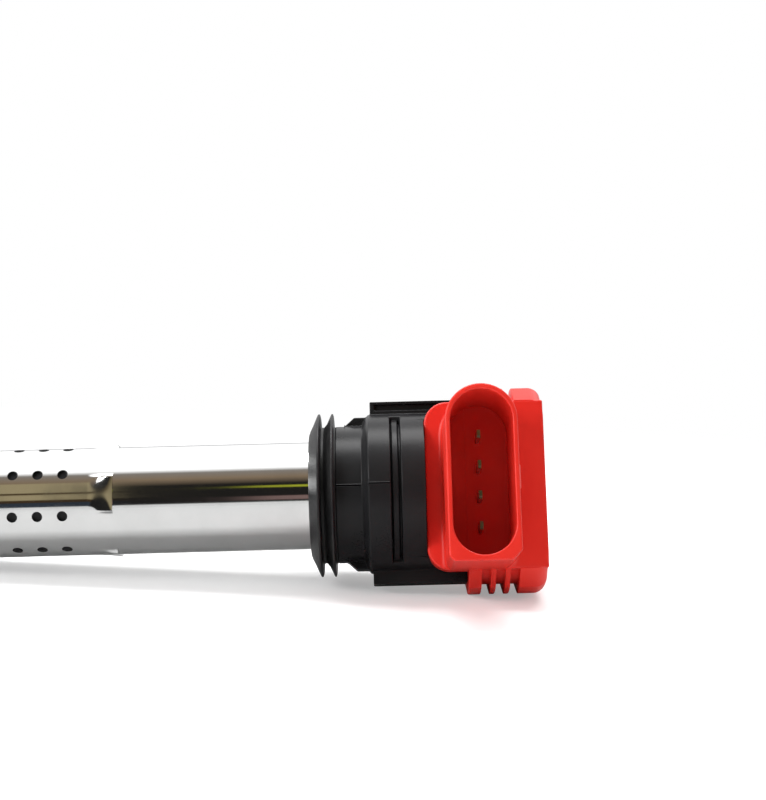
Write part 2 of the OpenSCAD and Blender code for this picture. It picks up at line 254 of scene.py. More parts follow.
class Wire:
    # one output socket, with arithmetic that adds Math nodes
    def __init__(self, graph, socket):
        self.graph = graph
        self.socket = socket

    def math(self, operation, first, second):
        return self.graph.add("ShaderNodeMath", {"operation": operation}, {0: first, 1: second})

    def __add__(self, other):
        return self.math("ADD", self, other)

    def __sub__(self, other):
        return self.math("SUBTRACT", self, other)

    def __rsub__(self, other):
        return self.math("SUBTRACT", other, self)

    def __mul__(self, other):
        return self.math("MULTIPLY", self, other)

    def __truediv__(self, other):
        return self.math("DIVIDE", self, other)

    __radd__ = __add__
    __rmul__ = __mul__

    def ramp(self, low, high):
        # 0 below low, 1 above high, smooth between
        settings = {"interpolation_type": "SMOOTHSTEP"}
        return self.graph.add("ShaderNodeMapRange", settings,
                              {"Value": self, "From Min": low, "From Max": high})


class Graph:
    def __init__(self, tree):
        self.tree = tree
        tree.nodes.clear()

    def add(self, kind, settings=None, inputs=None, out=0):
        node = self.tree.nodes.new(kind)
        for key, value in (settings or {}).items():
            if key == "stops":
                stops = node.color_ramp.elements
                while len(stops) < len(value):
                    stops.new(0.5)
                for stop, (place, tint) in zip(stops, value):
                    stop.position = place
                    stop.color = (*tint, 1)
            else:
                setattr(node, key, value)
        for key, value in (inputs or {}).items():
            if isinstance(value, Wire):
                self.tree.links.new(value.socket, node.inputs[key])
            else:
                node.inputs[key].default_value = value
        return Wire(self, node.outputs[out])

    def mixColor(self, amount, first, second):
        inputs = {0: amount}
        for key, tint in ((6, first), (7, second)):
            inputs[key] = tint if isinstance(tint, Wire) else (*tint, 1)
        return self.add("ShaderNodeMix", {"data_type": "RGBA"}, inputs, out=2)

    def noise(self, vector, scale, detail=3, rough=0.5):
        inputs = {"Vector": vector, "Scale": scale, "Detail": detail, "Roughness": rough}
        return self.add("ShaderNodeTexNoise", None, inputs)

    def stretched(self, vector, scale):
        return self.add("ShaderNodeMapping", None, {"Vector": vector, "Scale": scale})

    def bump(self, height, depth):
        return self.add("ShaderNodeBump", None, {"Height": height, "Distance": depth, "Strength": 1.0})

    def surface(self, inputs):
        self.finish(self.add("ShaderNodeBsdfPrincipled", None, inputs))

    def finish(self, shader, kind="ShaderNodeOutputMaterial"):
        end = self.tree.nodes.new(kind)
        self.tree.links.new(shader.socket, end.inputs["Surface"])


def newMaterial(name):
    material = bpy.data.materials.new(name)
    material.use_nodes = True
    graph = Graph(material.node_tree)
    place = graph.add("ShaderNodeTexCoord", out="Object")
    return material, graph, place


def mouldedPlastic(name, look):
    # spark-eroded mould grain, with slow changes of tone and of gloss
    material, graph, place = newMaterial(name)
    flow = graph.noise(place, look["flowScale"], 3)
    grain = graph.noise(place, look["grainScale"], 3, 0.6)
    tint = graph.mixColor(flow.ramp(0.3, 0.7), look["deep"], look["pale"])
    rough = look["rough"] + (flow - 0.5) * look["roughSpread"] + (grain - 0.5) * 0.08
    graph.surface({"Base Color": tint, "Roughness": rough, "Specular IOR Level": look["shine"],
                   "Normal": graph.bump(grain, look["grainDepth"] * mm)})
    return material


redNylon = mouldedPlastic("redNylon", {
    "deep": (0.70, 0.022, 0.014), "pale": (0.80, 0.032, 0.02), "flowScale": 60, "grainScale": 5200,
    "rough": 0.34, "roughSpread": 0.12, "shine": 0.36, "grainDepth": 0.01})
blackNylon = mouldedPlastic("blackNylon", {
    "deep": (0.010, 0.010, 0.011), "pale": (0.016, 0.016, 0.017), "flowScale": 70, "grainScale": 4200,
    "rough": 0.3, "roughSpread": 0.14, "shine": 0.17, "grainDepth": 0.012})
sealRubber = mouldedPlastic("sealRubber", {
    "deep": (0.012, 0.012, 0.013), "pale": (0.022, 0.022, 0.022), "flowScale": 160, "grainScale": 2600,
    "rough": 0.42, "roughSpread": 0.2, "shine": 0.22, "grainDepth": 0.02})
bootSilicone = mouldedPlastic("bootSilicone", {
    "deep": (0.014, 0.014, 0.015), "pale": (0.026, 0.026, 0.027), "flowScale": 90, "grainScale": 2200,
    "rough": 0.55, "roughSpread": 0.2, "shine": 0.4, "grainDepth": 0.02})
palePlastic = mouldedPlastic("palePlastic", {
    "deep": (0.60, 0.56, 0.46), "pale": (0.70, 0.66, 0.56), "flowScale": 80, "grainScale": 3000,
    "rough": 0.5, "roughSpread": 0.1, "shine": 0.4, "grainDepth": 0.01})
greenSleeve = mouldedPlastic("greenSleeve", {
    "deep": (0.05, 0.14, 0.08), "pale": (0.08, 0.2, 0.12), "flowScale": 80, "grainScale": 3000,
    "rough": 0.55, "roughSpread": 0.1, "shine": 0.4, "grainDepth": 0.01})
damperRubber = mouldedPlastic("damperRubber", {
    "deep": (0.42, 0.38, 0.3), "pale": (0.5, 0.46, 0.38), "flowScale": 90, "grainScale": 2600,
    "rough": 0.6, "roughSpread": 0.15, "shine": 0.4, "grainDepth": 0.02})
ceramicWhite = mouldedPlastic("ceramicWhite", {
    "deep": (0.68, 0.66, 0.6), "pale": (0.8, 0.78, 0.72), "flowScale": 200, "grainScale": 6000,
    "rough": 0.45, "roughSpread": 0.1, "shine": 0.5, "grainDepth": 0.006})
pottingResin = mouldedPlastic("pottingResin", {
    "deep": (0.03, 0.022, 0.018), "pale": (0.06, 0.045, 0.035), "flowScale": 50, "grainScale": 900,
    "rough": 0.14, "roughSpread": 0.08, "shine": 0.5, "grainDepth": 0.004})
capacitorTan = mouldedPlastic("capacitorTan", {
    "deep": (0.4, 0.22, 0.07), "pale": (0.5, 0.3, 0.1), "flowScale": 200, "grainScale": 3000,
    "rough": 0.25, "roughSpread": 0.1, "shine": 0.5, "grainDepth": 0.005})


def drawnMetal(name, look):
    # fine lines along the coil, and smudges that change the gloss
    material, graph, place = newMaterial(name)
    along = graph.stretched(place, look["lineStretch"])
    lines = graph.noise(along, 1, 4, 0.65)
    smudge = graph.noise(place, look["smudgeScale"], 4, 0.6)
    tint = graph.mixColor(smudge.ramp(0.35, 0.75), look["bright"], look["dull"])
    rough = look["rough"] + (lines - 0.5) * look["lineGloss"]
    rough = rough + smudge.ramp(0.5, 0.8) * look["smudgeGloss"]
    graph.surface({"Base Color": tint, "Metallic": 1.0, "Roughness": rough,
                   "Normal": graph.bump(lines, look["lineDepth"] * mm)})
    return material


tubeChrome = drawnMetal("tubeChrome", {
    "bright": (0.86, 0.865, 0.86), "dull": (0.78, 0.785, 0.78), "lineStretch": (30, 2600, 2600),
    "smudgeScale": 90, "rough": 0.07, "lineGloss": 0.05, "smudgeGloss": 0.06, "lineDepth": 0.0006})
tinnedBlade = drawnMetal("tinnedBlade", {
    "bright": (0.5, 0.48, 0.42), "dull": (0.34, 0.32, 0.27), "lineStretch": (2600, 60, 60),
    "smudgeScale": 300, "rough": 0.3, "lineGloss": 0.1, "smudgeGloss": 0.15, "lineDepth": 0.001})
contactBrass = drawnMetal("contactBrass", {
    "bright": (0.76, 0.56, 0.24), "dull": (0.6, 0.42, 0.16), "lineStretch": (2600, 300, 300),
    "smudgeScale": 260, "rough": 0.28, "lineGloss": 0.12, "smudgeGloss": 0.15, "lineDepth": 0.002})
springSteel = drawnMetal("springSteel", {
    "bright": (0.62, 0.63, 0.64), "dull": (0.5, 0.5, 0.5), "lineStretch": (900, 900, 900),
    "smudgeScale": 300, "rough": 0.3, "lineGloss": 0.1, "smudgeGloss": 0.1, "lineDepth": 0.001})
siliconSteel = drawnMetal("siliconSteel", {
    "bright": (0.34, 0.35, 0.37), "dull": (0.24, 0.25, 0.28), "lineStretch": (60, 4000, 400),
    "smudgeScale": 200, "rough": 0.4, "lineGloss": 0.15, "smudgeGloss": 0.1, "lineDepth": 0.004})
magnetGrey = drawnMetal("magnetGrey", {
    "bright": (0.24, 0.25, 0.27), "dull": (0.16, 0.17, 0.19), "lineStretch": (1500, 1500, 1500),
    "smudgeScale": 300, "rough": 0.55, "lineGloss": 0.1, "smudgeGloss": 0.1, "lineDepth": 0.003})
spreaderAlloy = drawnMetal("spreaderAlloy", {
    "bright": (0.72, 0.73, 0.74), "dull": (0.6, 0.61, 0.62), "lineStretch": (60, 2400, 2400),
    "smudgeScale": 200, "rough": 0.35, "lineGloss": 0.12, "smudgeGloss": 0.1, "lineDepth": 0.001})


def woundCopper(name, turnPitch, bright, deep):
    # turns of enamelled wire round the coil, drawn as a wave along x
    material, graph, place = newMaterial(name)
    turns = graph.add("ShaderNodeTexWave", {"bands_direction": "X"},
                      {"Vector": place, "Scale": 0.5 / (turnPitch * mm)}, out="Fac")
    tone = graph.noise(place, 400, 3)
    tint = graph.mixColor(turns.ramp(0.1, 0.8), deep, graph.mixColor(tone, bright, deep))
    graph.surface({"Base Color": tint, "Metallic": 0.75, "Roughness": 0.3 + tone * 0.1,
                   "Normal": graph.bump(turns, turnPitch * mm * 0.4)})
    return material


primaryCopper = woundCopper("primaryCopper", 0.5, (0.72, 0.32, 0.12), (0.3, 0.1, 0.04))
secondaryCopper = woundCopper("secondaryCopper", 0.12, (0.55, 0.18, 0.07), (0.25, 0.07, 0.03))
print("materials ready")

# ---- camera ----

camera = {
    "lens": 75.1,
    "distance": 343.5,   # from the coil's axis
    "foot": 11.87,       # the point of the coil that it faces
    "elevation": 10.28,  # how far it stands above the coil
    "pitch": 7.06,       # how far it looks down
    "roll": 1.48,
}
eye = bpy.data.cameras.new("camera")
eye.lens = camera["lens"]
eye.sensor_width = 36
eye.clip_start = 0.01
eyeObject = bpy.data.objects.new("camera", eye)
bpy.context.scene.collection.objects.link(eyeObject)
height = math.radians(camera["elevation"])
stand = Vector((camera["foot"], -camera["distance"] * math.cos(height),
                camera["distance"] * math.sin(height)))
eyeObject.matrix_world = (
    Matrix.Translation(stand * mm)
    @ Matrix.Rotation(math.radians(90 - camera["pitch"]), 4, "X")
    @ Matrix.Rotation(math.radians(-camera["roll"]), 4, "Z"))
bpy.context.scene.camera = eyeObject

# ---- bench and light ----

bench = {
    "touchHead": 28,       # the cap's edge rests here
    "size": 6000,
    "gap": 0.05,
    "tone": (0.80, 0.80, 0.80),
    "lift": 0.32,          # white that only the camera sees
    "mirrored": 0.74,      # how white the far bench is in mirrors
    # painted shade: near the coil, mirrors see the bench in this darker tone, standing for its shade
    "shadedInMirrors": (0.48, 0.48, 0.48),
    "fade": (0.10, 0.26),  # metres from the coil over which the bench turns plain white
    "oval": (0.55, 1, 1),  # the fade reaches further along the coil
}


def makeBench():
    # the coil rests on its cap and on its boot's mouth, so the bench slopes under it
    material, graph, place = newMaterial("benchWhite")
    rays = graph.tree.nodes.new("ShaderNodeLightPath")
    seen = Wire(graph, rays.outputs["Is Camera Ray"])
    mirror = Wire(graph, rays.outputs["Is Glossy Ray"])
    # mirrors see the near bench in a darker, painted shade
    tone = graph.mixColor(mirror, bench["tone"], bench["shadedInMirrors"])
    paper = graph.add("ShaderNodeBsdfDiffuse", None, {"Color": tone})
    glow = graph.add("ShaderNodeEmission", None,
                     {"Color": (1, 1, 1, 1), "Strength": seen * bench["lift"]})
    lit = graph.add("ShaderNodeAddShader", None, {0: paper, 1: glow})
    plain = graph.add("ShaderNodeEmission", None,
                      {"Color": (1, 1, 1, 1), "Strength": seen + mirror * bench["mirrored"]})
    reach = graph.stretched(place, bench["oval"])
    away = graph.add("ShaderNodeVectorMath", {"operation": "LENGTH"}, {0: reach}, out="Value")
    fade = away.ramp(*bench["fade"]) * (seen + mirror)
    graph.finish(graph.add("ShaderNodeMixShader", None, {0: fade, 1: lit, 2: plain}))
    head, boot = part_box("connector_housing")[0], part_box("plug_boot")[0]
    slope = math.atan2(head[2] - boot[2], bench["touchHead"] * mm - boot[0])
    bm = bmesh.new()
    bmesh.ops.create_grid(bm, x_segments=2, y_segments=2, size=bench["size"] / 2)
    turnVerts(bm, bm.verts, -slope, "Y")
    bmesh.ops.translate(bm, verts=bm.verts, vec=(bench["touchHead"], 0, head[2] / mm - bench["gap"]))
    bmesh.ops.scale(bm, verts=bm.verts, vec=(mm, mm, mm))
    floor = newObject("bench", bm)
    floor.data.materials.append(material)
    print("bench slopes", round(math.degrees(slope), 2), "degrees")


makeBench()

lighting = {
    "soft": 0.64,        # even light on matt surfaces
    "frontDark": 0.85,   # how much of it the dark room in front takes away
    "dark": (0.014, 0.013, 0.012),
    "amber": (0.24, 0.175, 0.115),
    "gold": (0.34, 0.28, 0.16),
    "umber": (0.05, 0.03, 0.014),
    "navy": (0.03, 0.04, 0.055),
    "lime": (0.36, 0.38, 0.03),
    "rose": (0.2, 0.13, 0.12),
    "floor": (0.75, 0.76, 0.74),
    "haze": (0.24, 0.215, 0.19),
    "edge": (0.66, 0.66, 0.67),
    "white": (1.3, 1.3, 1.3),
    "streaks": (         # colour, from, to, side of the room
        ("gold", 0.545, 0.64, "left"), ("umber", 0.578, 0.582, "left"),
        ("umber", 0.53, 0.54, "left"), ("navy", 0.505, 0.525, "left"),
        ("lime", 0.588, 0.594, "right"), ("rose", 0.515, 0.532, "right")),
    "streakEdge": 0.006,
    "boxes": {           # power, size across and along, place, aim
        "top softbox": (5.6, (900, 280), (0, 130, 600), (0, 130, 0)),
        "left softbox": (3.2, (420, 320), (-560, -430, 400), (20, 0, 0)),
    },
}


def makeWorld():
    # mirrors see a dark room in front and above the camera, and white everywhere else
    world = bpy.data.worlds.new("studio")
    bpy.context.scene.world = world
    world.use_nodes = True
    graph = Graph(world.node_tree)
    rays = graph.tree.nodes.new("ShaderNodeLightPath")
    glossy = Wire(graph, rays.outputs["Is Glossy Ray"])
    seen = Wire(graph, rays.outputs["Is Camera Ray"])
    through = Wire(graph, rays.outputs["Is Transmission Ray"])
    way = graph.add("ShaderNodeTexCoord", out="Generated")
    split = graph.tree.nodes.new("ShaderNodeSeparateXYZ")
    graph.tree.links.new(way.socket, split.inputs[0])
    aside, forward, up = (Wire(graph, split.outputs[axis]) for axis in range(3))
    angle = graph.add("ShaderNodeMath", {"operation": "ARCTAN2"}, {0: up, 1: 0 - forward})
    turn = angle / math.pi * 0.5 + 0.5       # 0.5 is level with the camera, 0.75 straight up
    stops = [(place, lighting[tint]) for place, tint in (
        (0.0, "white"), (0.49, "floor"), (0.505, "dark"), (0.61, "dark"), (0.65, "amber"),
        (0.69, "haze"), (0.712, "white"), (0.95, "white"), (0.965, "edge"), (1.0, "edge"))]
    room = graph.add("ShaderNodeValToRGB", {"stops": stops}, {0: turn})
    sides = {"left": (1 - aside.ramp(-0.188, -0.155)) * aside.ramp(-0.28, -0.24),
             "right": aside.ramp(-0.1, -0.06)}
    soften = lighting["streakEdge"]
    for tint, low, high, side in lighting["streaks"]:
        streak = turn.ramp(low - soften, low) * (1 - turn.ramp(high, high + soften))
        room = graph.mixColor(streak * sides[side], room, lighting[tint])
    front = turn.ramp(0.44, 0.5) * (1 - turn.ramp(0.6, 0.68))
    front = front * (1 - (aside * aside).ramp(0.1, 0.35))
    soft = lighting["soft"]
    shade = soft * (1 - lighting["frontDark"])
    even = graph.mixColor(front, (soft, soft, soft), (shade, shade, shade))
    matt = graph.mixColor(glossy, even, room)
    tint = graph.mixColor(seen + through, matt, (1, 1, 1))
    graph.finish(graph.add("ShaderNodeBackground", None, {"Color": tint, "Strength": 1.0}),
                 "ShaderNodeOutputWorld")


makeWorld()
for name, (power, size, place, aim) in lighting["boxes"].items():
    box = bpy.data.lights.new(name, "AREA")
    box.shape = "RECTANGLE"
    box.size, box.size_y = size[0] * mm, size[1] * mm
    box.energy = power
    boxObject = bpy.data.objects.new(name, box)
    facing = (Vector(aim) - Vector(place)).to_track_quat("-Z", "Y").to_matrix().to_4x4()
    boxObject.matrix_world = Matrix.Translation(Vector(place) * mm) @ facing
    bpy.context.scene.collection.objects.link(boxObject)
bpy.context.scene.view_settings.view_transform = "Standard"
print("camera, bench and light ready")

# ---- red head ----

redHead = {
    "front": 10.5, "back": 5.5, "half": 16.9, "corner": 4.6, "plateEdge": 0.4,
    "capStart": 28, "capRadius": 21, "capFlat": 20.4, "capRound": 2.5, "facetTilt": 35,
    "socketX": 30.4, "mouth": 29, "socketHalf": 6.9, "cutCorner": 1.8, "smallCorner": 1.0,
    "holeHalf": 5.95, "holeHeight": 15.8, "holeFloor": 10.3, "rimEdge": 0.3, "baseFillet": 0.9,
    "slotFirst": 30.6, "slotPitch": 2.85, "slotWidth": 1.8, "slotFloor": 19, "slotEdge": 0.18,
    "slotFrom": 48, "slotTo": 160, "slotTop": 24, "behind": 0.05, "barrel": 16.35,
    "barrelFlat": 8.75, "spigot": 15.55, "spigotEnd": 36.05, "cavity": 13.8,
    "coverRadius": 16.25, "coverDeep": 1.8, "coverEdge": 0.2,
}


def makeRedHead():
    v = redHead
    left, right = stationsOf("connector_housing")
    half, corner = v["half"], v["corner"]
    shell = plateShape("redHousing", [(left, -half, corner), (right, -half, 0), (right, half, 0),
                                      (left, half, corner)], v["front"], v["back"])
    socketHalf, x = v["socketHalf"], v["socketX"]
    almost = 0.001  # keeps two roundings from meeting in one point
    wall = plateShape("socketWall", [
        (x - socketHalf, -half, v["smallCorner"]), (x + socketHalf, -half, v["cutCorner"]),
        (x + socketHalf, half, socketHalf - almost), (x - socketHalf, half, socketHalf - almost)],
        v["mouth"], v["holeFloor"] - 1)
    roundEdges(shell, v["plateEdge"], 4, lambda edge: True)
    roundEdges(wall, v["rimEdge"], 3, lambda edge: abs(edge.verts[0].co.y - edge.verts[1].co.y) > 1)
    join(shell, [wall])
    roundEdges(shell, v["baseFillet"], 5, lambda edge: edgeIs(
        edge, lambda p: abs(p.y + v["front"]) < 0.01), convex=False)
    cut(shell, [plateShape("socketHole", [
        (x + side * v["holeHalf"], end * v["holeHeight"], v["holeHalf"] - almost)
        for side, end in ((-1, -1), (1, -1), (1, 1), (-1, 1))], v["mouth"] + 1, v["holeFloor"])])
    roundEdges(shell, v["rimEdge"], 4, lambda edge: edgeIs(edge, lambda p: p.y < 0.01 - v["mouth"]))
    join(shell, [makeCap(v, right), makeLatch(x + socketHalf)])
    step, seat = v["capStart"] + 0.05, right - v["coverDeep"]
    cover, rim = v["coverRadius"], v["coverRadius"] + v["coverEdge"]
    room = [(left - 1, 0), (left - 1, v["barrel"]), (step, v["barrel"]), (step, v["spigot"]),
            (v["spigotEnd"], v["spigot"]), (v["spigotEnd"], v["cavity"]), (seat, v["cavity"]),
            (seat, cover), (right - v["coverEdge"], cover), (right, rim), (right + 1, rim),
            (right + 1, 0)]
    splitBroadFaces(shell)
    cut(shell, [lathe("headRoom", room, flat=v["barrelFlat"])])
    finishPiece(shell, redNylon, "coil", "connector_housing", edge=0)


def makeCap(v, right):
    # a disc with a rounded end and three flats, cut off behind the plate's face
    bm = bmesh.new()
    bmesh.ops.create_cone(bm, cap_ends=True, segments=192, radius1=v["capRadius"],
                          radius2=v["capRadius"], depth=right - v["capStart"])
    turnVerts(bm, bm.verts, math.pi / 2, "Y")
    bmesh.ops.translate(bm, verts=bm.verts, vec=((right + v["capStart"]) / 2, 0, 0))
    for turn in (-72, 0, 72):
        normal = Matrix.Rotation(math.radians(turn), 3, "X") @ Vector((0, 1, 0))
        sliceFlat(bm, normal * v["capFlat"], normal)
    tilt = math.radians(v["facetTilt"])
    for side in (1, -1):  # facets that run back from the plate's long edges
        normal = (0, -math.sin(tilt), side * math.cos(tilt))
        sliceFlat(bm, (0, -v["front"], side * v["half"]), normal)
    rim = [edge for edge in bm.edges if edgeIs(edge, lambda p: p.x > right - 0.01)]
    bevelEdges(bm, rim, v["capRound"], 8)
    back = [edge for edge in bm.edges if edgeIs(edge, lambda p: p.x < v["capStart"] + 0.01)]
    bevelEdges(bm, back, v["plateEdge"], 4)
    sliceFlat(bm, (0, v["behind"] - v["front"], 0), (0, -1, 0))
    cap = newObject("cap", bm)
    cut(cap, [makeSlotCutter(v, number, side) for number in range(3) for side in (1, -1)])
    top = v["slotFloor"] + 0.5
    for number in range(3):
        for end in (0, v["slotWidth"]):
            place = v["slotFirst"] + number * v["slotPitch"] + end
            roundEdges(cap, v["slotEdge"], 3, lambda edge: edgeIs(
                edge, lambda p: abs(p.x - place) < 0.01 and math.hypot(p.y, p.z) > top))
    return cap


latchRamp = {"half": 2.3, "rise": 0.9, "root": 0.4, "toe": -24.4, "start": -24.2, "crest": -20,
             "end": -19, "edge": 0.15}


def makeLatch(wall):
    v = latchRamp
    base, crest = wall - v["root"], wall + v["rise"]
    outline = [(base, v["toe"]), (wall, v["start"]), (crest, v["crest"]), (crest, v["end"]),
               (base, v["end"])]
    latch = prism("latch", [(x, y, -v["half"]) for x, y in outline], (0, 0, 2 * v["half"]))
    roundEdges(latch, v["edge"], 2, lambda edge: edgeIs(edge, lambda p: p.x > wall - 0.1))
    return latch


def makeSlotCutter(v, number, side):
    start = v["slotFirst"] + number * v["slotPitch"]
    end = start + v["slotWidth"]
    sweep = v["slotTo"] - v["slotFrom"]
    profile = [(start, v["slotFloor"]), (end, v["slotFloor"]), (end, v["slotTop"]),
               (start, v["slotTop"])]
    return lathe("slot", profile, 72, v["slotFrom"] if side > 0 else -v["slotTo"], sweep)


makeRedHead()

endCover = {"radius": 16.2, "thick": 1.8, "flat": 8.7, "dish": 9, "dishY": 3.5, "deep": 0.4,
            "ring": (7.4, 8), "ringDeep": 0.6}


def makeEndCover():
    v = endCover
    right = stationsOf("end_cover")[1]
    back, above = right - v["thick"], right + 1
    plate = lathe("redCover", [(back, 0), (back, v["radius"]), (right, v["radius"]), (right, 0)],
                  flat=v["flat"])
    floor = right - v["deep"]
    dish = lathe("dish", [(floor, 0), (floor, v["dish"]), (above, v["dish"]), (above, 0)], 96)
    floor = right - v["ringDeep"]
    inner, outer = v["ring"]
    ring = lathe("ring", [(floor, outer), (floor, inner), (above, inner), (above, outer)], 96)
    for cutter in (dish, ring):
        cutter.data.transform(Matrix.Translation((0, v["dishY"], 0)))
    cut(plate, [dish, ring])
    finishPiece(plate, redNylon, "coil", "end_cover", edge=0.15)


makeEndCover()

# ---- black head ----

blackHead = {
    "spigotStart": -3.0, "spigot": 12.2, "bore": 11.05, "neckStart": 2, "neck": 14.0,
    "shoulder": (7.1, 8.8), "barrel": 16.3, "groove": (13, 15.1), "grooveFloor": 15.5,
    "trenches": (0.3, 0.55), "trenchFloor": 14.7, "grooveTop": 20,
    "grooveHalf": 66, "plate": 19.9, "capStart": 28, "flat": 8.7, "capSpigot": 15.5, "end": 36,
    "wingStart": 9.05, "wing": 18.7, "wingFoot": 13, "wingHalf": 3, "pocketEnd": 3,
    "pocket": 0.8, "pocketRim": 0.6, "keyStart": 4, "key": 15.6, "keyHalf": 2.6, "keyRoot": 1.5,
    "seam": 0.12, "seamProud": 0.045,
}


def makeBlackHead():
    v = blackHead
    low, high = v["shoulder"]
    neckStart, neck, barrel, plate = v["neckStart"], v["neck"], v["barrel"], v["plate"]
    profile = [(v["spigotStart"], v["bore"]), (v["spigotStart"], v["spigot"]),
               (neckStart, v["spigot"]), (neckStart, neck), (low, neck)]
    for step in range(1, 8):  # an easy curve from the neck out to the barrel
        t = step / 8
        profile.append((low + (high - low) * t, neck + (barrel - neck) * ease(t)))
    profile += [(high, barrel), (plate, barrel), (plate, v["bore"])]
    body = lathe("blackHousing", profile, 192)
    cut(body, [makeGroove(v)])
    start, capStart, end = plate - 0.5, v["capStart"], v["end"]
    under = [(start, 0), (start, barrel), (capStart, barrel), (capStart, v["capSpigot"]),
             (end, v["capSpigot"]), (end, 0)]
    parts = [lathe("underPlate", under, 192, flat=v["flat"])]
    for turn in (0, 180):
        for part in (makeWing(v), makeKey(v)):
            part.data.transform(Matrix.Rotation(math.radians(turn), 4, "X"))
            parts.append(part)
    for first, last, radius in ((neckStart, low + 0.4, neck), (high - 0.2, v["groove"][0], barrel)):
        parts.append(block("seam", (first, -radius - v["seamProud"], -v["seam"]),
                           (last, 1 - radius, v["seam"])))
    join(body, parts)
    finishPiece(body, blackNylon, "coil", "head_housing", edge=0.22)


def makeGroove(v):
    # narrow deeper lines run along both of its sides
    start, end = v["groove"]
    near, far = start + v["trenches"][0], end - v["trenches"][1]
    floor, deep, top = v["grooveFloor"], v["trenchFloor"], v["grooveTop"]
    profile = [(start, deep), (near, deep), (near, floor), (far, floor), (far, deep), (end, deep),
               (end, top), (start, top)]
    return lathe("groove", profile, 96, -v["grooveHalf"], 2 * v["grooveHalf"])


def makeWing(v):
    half, rim = v["wingHalf"], v["pocketRim"]
    wing = block("wing", (v["wingStart"], -half, v["wingFoot"]), (v["capStart"], half, v["wing"]))
    low = (v["wingStart"] + 0.9, -half - 1, v["barrel"] + rim)
    high = (v["capStart"] - v["pocketEnd"], v["pocket"] - half, v["wing"] - rim)
    pocket = block("pocket", low, high)
    cut(wing, [pocket])
    return wing


def makeKey(v):
    start, end, top, neck = v["keyStart"], v["wingStart"] + 1, v["key"], v["neck"]
    half, foot = v["keyHalf"], v["neck"] - v["keyRoot"]
    outline = [(start - 0.4, foot), (start - 0.1, neck - 0.1), (start + top - neck + 0.2, top),
               (end, top), (end, foot)]
    return prism("key", [(x, -half, z) for x, z in outline], (0, 2 * half, 0))


makeBlackHead()

# ---- well seal ----

sealShape = {"back": -3.4, "front": 1.98, "inner": 12.22, "lip": 16.68, "valley": 13.95,
             "land": (1.2, 1.5)}


def makeSeal():
    v = sealShape
    inner, lip, valley = v["inner"], v["lip"], v["valley"]
    near, far = v["land"]
    profile = [(v["back"], inner), (v["back"], 12.5), (-3.15, 13.2), (-2.55, 14.4),
               (-far - 0.15, lip - 0.25), (-far, lip), (-near, lip), (-near + 0.12, lip - 0.4),
               (-1.02, valley + 0.25), (-0.85, valley), (-0.35, valley - 0.05), (0.25, 14.6),
               (near - 0.1, lip - 0.25), (near, lip), (far, lip), (far + 0.1, lip - 0.35),
               (far + 0.14, valley + 0.3), (far + 0.3, valley), (v["front"], valley),
               (v["front"], inner)]
    ring = lathe("wellSeal", profile, 192)
    finishPiece(ring, sealRubber, "coil", "well_seal", edge=0.08, steps=2,
                sharpAngle=20)


makeSeal()

# ---- steel tube ----

tubeShape = {
    "radius": 11.0, "wall": 0.7, "slit": 6.2,
    "holeRadius": 1.05, "holeFirst": -52.6, "holePitch": 5.0, "rings": 3, "around": 8,
    "louvreStart": -47.6, "louvreEnd": -42.5, "louvreHalf": 21.5, "louvreRise": 0.18,
    "louvreEdge": 3.0, "louvreSteps": 10, "louvreLast": 135,
}


def makeTube():
    # rolled from strip: the slit along the back is where its edges meet
    v = tubeShape
    left, right = stationsOf("core_tube")
    start, end, steps = v["louvreStart"], v["louvreEnd"], v["louvreSteps"]
    stops = [left, -66, -60.1, -55.1, -50]
    stops += [start + (end - start) * step / steps for step in range(steps + 1)]
    stops += [end + 0.02, -42, -34, -20, -5, right]
    tube = lathe("steelTube", [(x, v["radius"]) for x in stops], 354, -180 + v["slit"] / 2,
                 360 - v["slit"], closed=False)
    bm = bmesh.new()
    bm.from_mesh(tube.data)
    raiseLouvres(bm, v)
    for face in bm.faces:
        if face.normal.dot(face.calc_center_median() * Vector((0, 1, 1))) < 0:
            face.normal_flip()
    bm.to_mesh(tube.data)
    bm.free()
    wall = tube.modifiers.new("wall", "SOLIDIFY")
    wall.thickness = v["wall"]
    wall.offset = -1
    applyModifiers(tube)
    cut(tube, [makeDrills(v)])
    finishPiece(tube, tubeChrome, "coil", "core_tube", edge=0)


def raiseLouvres(bm, v):
    # each tongue rises towards the head and is sheared off at its end
    start, end, quarter = v["louvreStart"], v["louvreEnd"], math.pi / 2
    for vert in bm.verts:
        x, y, z = vert.co
        angle = math.atan2(z, -y)
        if not start < x < end + 0.001 or abs(angle) > math.radians(v["louvreLast"]):
            continue
        middle = round(angle / quarter) * quarter  # of the nearest tongue
        off = angle - middle
        depth, across = v["radius"] * math.cos(off), v["radius"] * math.sin(off)
        side = ease((v["louvreHalf"] - abs(math.degrees(off))) / v["louvreEdge"])
        lift = ease((x - start) / (end - start)) * side
        depth += (v["radius"] + v["louvreRise"] - depth) * lift
        y = -(depth * math.cos(middle) - across * math.sin(middle))
        z = depth * math.sin(middle) + across * math.cos(middle)
        vert.co = (x, y, z)


def makeDrills(v):
    # one object, because the solver hangs when they are cut one after another
    bm = bmesh.new()
    for number in range(v["rings"] * v["around"]):
        ring, place = divmod(number, v["around"])
        drill = bmesh.ops.create_cone(bm, cap_ends=True, segments=36, radius1=v["holeRadius"],
                                      radius2=v["holeRadius"], depth=v["radius"])["verts"]
        bmesh.ops.translate(bm, verts=drill, vec=(0, 0, v["radius"]))
        turn = math.radians(360 / v["around"] * (place + 0.5))
        turnVerts(bm, drill, turn, "X")
        bmesh.ops.translate(bm, verts=drill, vec=(v["holeFirst"] - ring * v["holePitch"], 0, 0))
    return newObject("drills", bm)


makeTube()

# ---- plug boot ----

